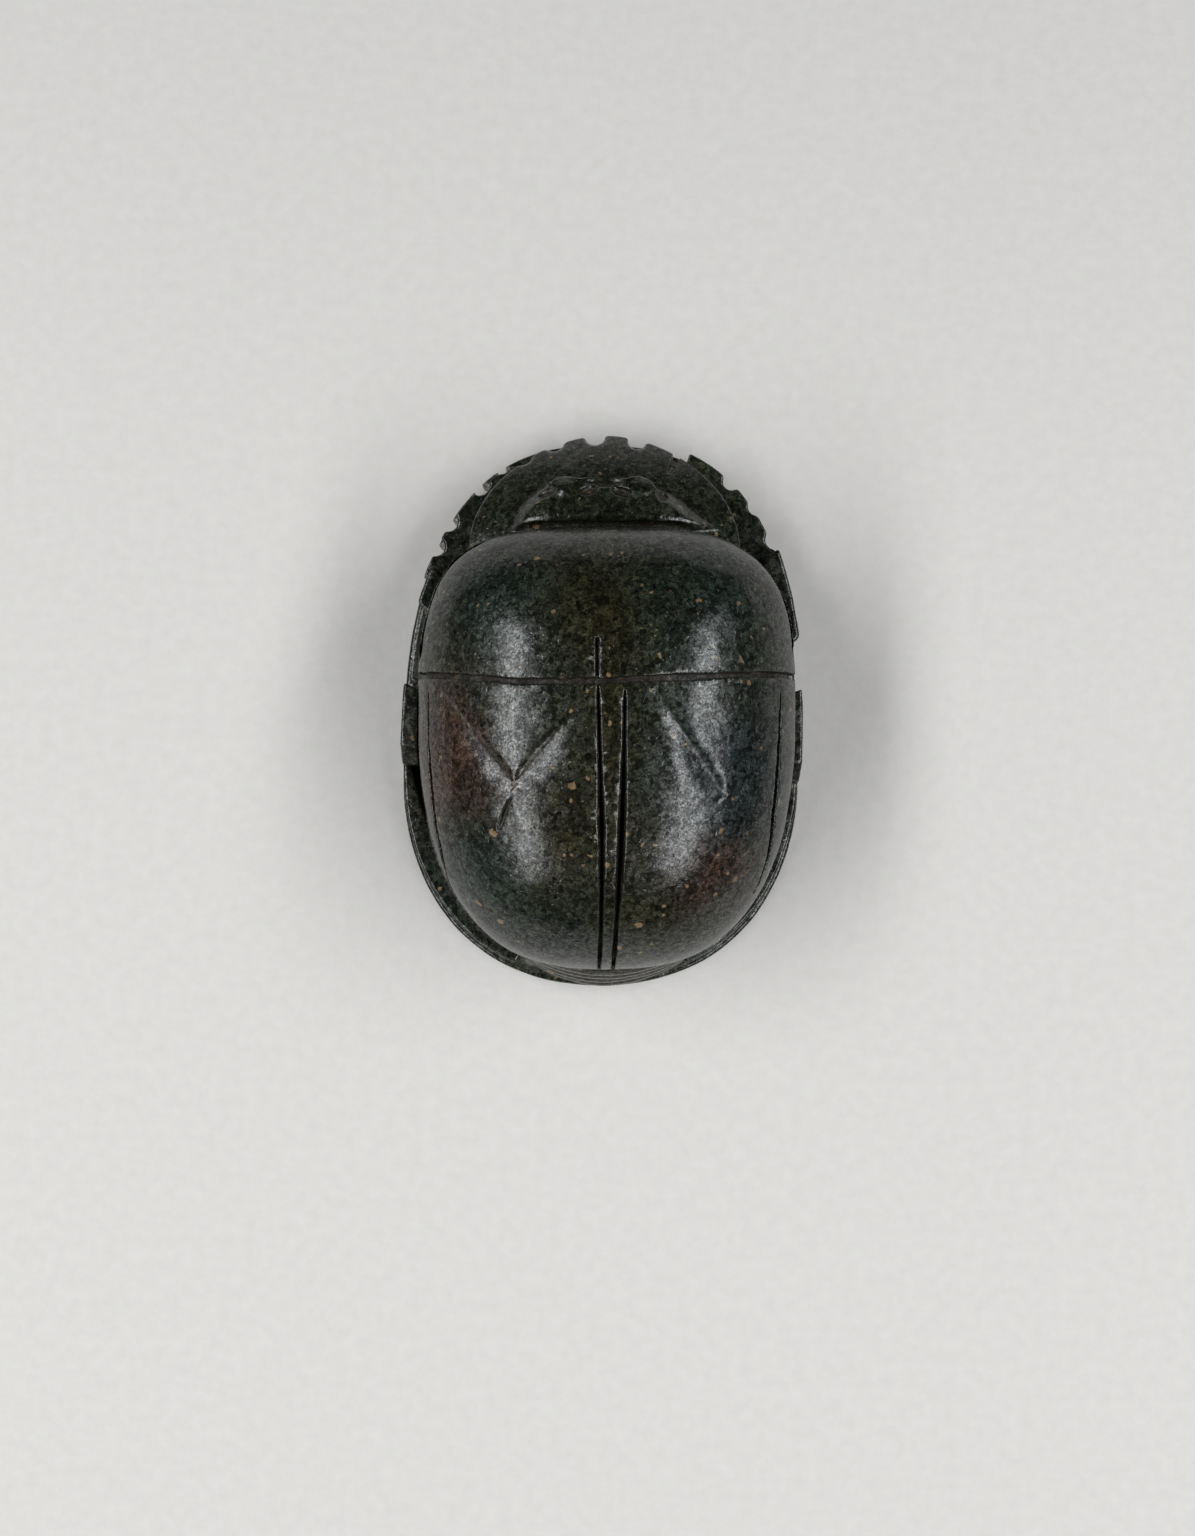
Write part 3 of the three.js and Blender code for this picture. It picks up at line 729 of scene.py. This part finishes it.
def stone_material():
    """Dark green stone with black, pale and tan grains, earth in its cuts, painted shade on the tail's
    ledges, worn edges lightened by a painted highlight, and painted highlights in the notches and on the
    tail's rings.
    """
    material = bpy.data.materials.new("speckled_green_stone")
    n = Nodes(material)
    place = n.add("ShaderNodeTexCoord").outputs["Object"]
    tone = n.attribute("tone", "Color")
    # Masks: worn edges with a painted highlight; earth in the cuts with painted shade on the tail's ledges;
    # painted highlights in the notches and on the tail's rings.
    wear_and_edge_highlight = n.attribute("wear_and_edge_highlight")
    earth_and_ledge_shade = n.attribute("earth_and_ledge_shade")
    painted_highlight = n.attribute("painted_highlight")

    stir = n.add("ShaderNodeTexNoise", {"Vector": place, "Scale": 1500.0, "Detail": 2.0}).outputs["Color"]
    stir = n.add("ShaderNodeVectorMath", {0: stir, 1: (0.5, 0.5, 0.5)}, operation="SUBTRACT").outputs[0]
    stir = n.add("ShaderNodeVectorMath", {0: stir, "Scale": 0.0007}, operation="SCALE").outputs[0]
    stirred = n.add("ShaderNodeVectorMath", {0: place, 1: stir}).outputs[0]

    crystal = n.grains(stirred, 2300.0)
    crystal_tone = n.ramp(crystal.outputs["Color"], 0.15, 0.85)
    cloud = n.ramp(n.noise(place, 420.0, 5.0, 0.62), 0.33, 0.68)
    mottle = n.ramp(n.noise(place, 1700.0, 3.0, 0.65), 0.35, 0.7)
    fine = n.ramp(n.noise(place, 5200.0, 2.0, 0.7), 0.35, 0.72)
    light = n.math("ADD", n.math("MULTIPLY", cloud, 0.45), n.math("MULTIPLY", mottle, 0.6))
    light = n.math("ADD", light, n.math("MULTIPLY", crystal_tone, 0.75))
    light = n.math("ADD", light, n.math("MULTIPLY", fine, 0.9))
    light = n.math("POWER", n.math("MULTIPLY", light, 0.74), 2.8)
    light = n.math("ADD", n.math("MULTIPLY", light, 0.5), 0.08)
    colour = n.add("ShaderNodeVectorMath", {0: tone, "Scale": light}, operation="SCALE").outputs[0]

    black = n.grains(stirred, 1500.0)
    spot = n.ramp(black.outputs["Distance"], 0.32, 0.22)
    is_black = n.math("MULTIPLY", spot, n.ramp(black.outputs["Color"], 0.55, 0.6))
    colour = n.mix(n.math("MULTIPLY", is_black, 0.85), colour, (0.0012, 0.0016, 0.0018))
    for scale, radius, least in ((430.0, 0.17, 0.68), (1000.0, 0.23, 0.74)):
        tan = n.grains(stirred, scale)
        spot = n.ramp(tan.outputs["Distance"], radius, radius * 0.7)
        is_tan = n.math("MULTIPLY", spot, n.ramp(tan.outputs["Color"], least, least + 0.03))
        colour = n.mix(n.math("MULTIPLY", is_tan, n.ramp(fine, -0.6, 1.2)), colour, (0.20, 0.13, 0.07))
    pale = n.grains(stirred, 2500.0)
    spot = n.ramp(pale.outputs["Distance"], 0.28, 0.15)
    is_pale = n.math("MULTIPLY", spot, n.ramp(pale.outputs["Color"], 0.84, 0.88))
    colour = n.mix(n.math("MULTIPLY", is_pale, 0.45), colour, (0.16, 0.13, 0.09))

    scuff = n.noise(place, 900.0, 3.0, 0.7)
    # Edges lightened: wear together with a painted highlight.
    worn_and_lit = n.math("MULTIPLY", wear_and_edge_highlight, n.ramp(scuff, 0.3, 0.65), True)
    colour = n.mix(n.math("MULTIPLY", worn_and_lit, 0.3), colour, (0.07, 0.075, 0.065))
    # Earth in the cuts, and painted shade on the tail's ledges.
    soiled_and_shaded = n.math("MULTIPLY", earth_and_ledge_shade, n.ramp(scuff, 0.15, 0.6), True)
    colour = n.mix(n.math("MULTIPLY", soiled_and_shaded, 0.8), colour, EARTH_AND_LEDGE_SHADE)

    # Painted highlights: pale crescents in the notches and light lines on the tail's rings.
    colour = n.mix(n.math("MULTIPLY", painted_highlight, 0.85), colour, (0.11, 0.098, 0.082))

    smear = n.noise(place, 300.0, 3.0, 0.6)
    rough = n.math("ADD", n.math("MULTIPLY", smear, 0.1), 0.17)
    rough = n.math("ADD", rough, n.math("MULTIPLY", crystal_tone, 0.08))
    rough = n.math("ADD", rough, n.math("MULTIPLY", soiled_and_shaded, 0.4), True)
    glint = n.math("MULTIPLY", n.math("ADD", crystal_tone, mottle), fine)
    glint = n.math("ADD", n.math("MULTIPLY", glint, 0.75), 0.15)

    tooth = n.noise(place, 3600.0, 3.0, 0.7)
    relief = n.add("ShaderNodeBump", {"Strength": 0.8, "Distance": 0.000014, "Height": tooth})
    pits = n.math("MULTIPLY", n.math("ADD", is_black, is_pale), -1.0)
    relief = n.add("ShaderNodeBump", {
        "Strength": 0.6, "Distance": 0.00002, "Height": pits, "Normal": relief.outputs["Normal"],
    })
    shader = n.add("ShaderNodeBsdfPrincipled", {
        "Base Color": colour, "Roughness": rough, "Normal": relief.outputs["Normal"], "IOR": 1.42,
        "Specular IOR Level": glint,
    })
    n.add("ShaderNodeOutputMaterial", {"Surface": shader.outputs["BSDF"]})
    return material


def table_material():
    """Pale matt paper with a faint tooth."""
    material = bpy.data.materials.new("pale_paper")
    n = Nodes(material)
    place = n.add("ShaderNodeTexCoord").outputs["Object"]
    tooth = n.noise(place, 700.0, 3.0, 0.6)
    colour = n.mix(n.ramp(tooth, 0.3, 0.7), (0.412, 0.398, 0.382), (0.437, 0.423, 0.406))
    bump = n.add("ShaderNodeBump", {"Strength": 0.25, "Distance": 0.0002, "Height": tooth})
    shader = n.add("ShaderNodeBsdfPrincipled", {
        "Base Color": colour, "Roughness": 0.9, "Normal": bump.outputs["Normal"], "Specular IOR Level": 0.2,
    })
    n.add("ShaderNodeOutputMaterial", {"Surface": shader.outputs["BSDF"]})
    return material


def make_floor():
    half = 1.5
    mesh = bpy.data.meshes.new("table")
    corners = [(-half, -half, 0), (half, -half, 0), (half, half, 0), (-half, half, 0)]
    mesh.from_pydata(corners, [], [(0, 1, 2, 3)])
    floor = bpy.data.objects.new("table", mesh)
    bpy.context.scene.collection.objects.link(floor)
    floor.data.materials.append(table_material())


def make_light(name, place, aim, size, power, colour, turn=0.0):
    data = bpy.data.lights.new(name, "AREA")
    data.shape = "RECTANGLE"
    data.size, data.size_y = size
    data.energy = power
    data.color = colour
    light = bpy.data.objects.new(name, data)
    bpy.context.scene.collection.objects.link(light)
    across, _, down = (a - p for a, p in zip(aim, place))
    light.location = place
    tilt = np.arctan2(across, -down)
    light.rotation_euler = (0.0, -tilt, turn)
    return light


def make_view():
    data = bpy.data.cameras.new("camera")
    data.sensor_width = 36.0
    data.lens = 1150.0 / 1536.0 * 36.0
    data.clip_start = 0.01
    camera = bpy.data.objects.new("camera", data)
    bpy.context.scene.collection.objects.link(camera)
    camera.location = (-0.32 * MM, -6.13 * MM, 129.0 * MM)
    bpy.context.scene.camera = camera

    cool, warm = (0.955, 0.98, 1.0), (1.0, 0.985, 0.96)
    aim = (0, -0.03, 0.01)
    for side, away, power, wall, turn in ((-1, 0.242, 2.2, 0.06, 0.0), (1, 0.232, 2.05, 0.02, -0.26)):
        make_light("window", (side * away, -0.08, 0.29), aim, (0.08, 0.60), power, cool, turn)
        make_light("wall", (side * 0.36, -0.06, 0.19), aim, (0.26, 0.6), wall, warm)
    world = bpy.data.worlds.new("room")
    world.use_nodes = True
    background = world.node_tree.nodes["Background"]
    background.inputs["Color"].default_value = (1.0, 0.99, 0.97, 1.0)
    background.inputs["Strength"].default_value = 0.04
    scene = bpy.context.scene
    scene.world = world
    scene.view_settings.view_transform = "Standard"


make_view()
make_floor()
stone = make_stone()
stone.data.materials.clear()
stone.data.materials.append(stone_material())
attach(stone, "root")
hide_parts("scarab")
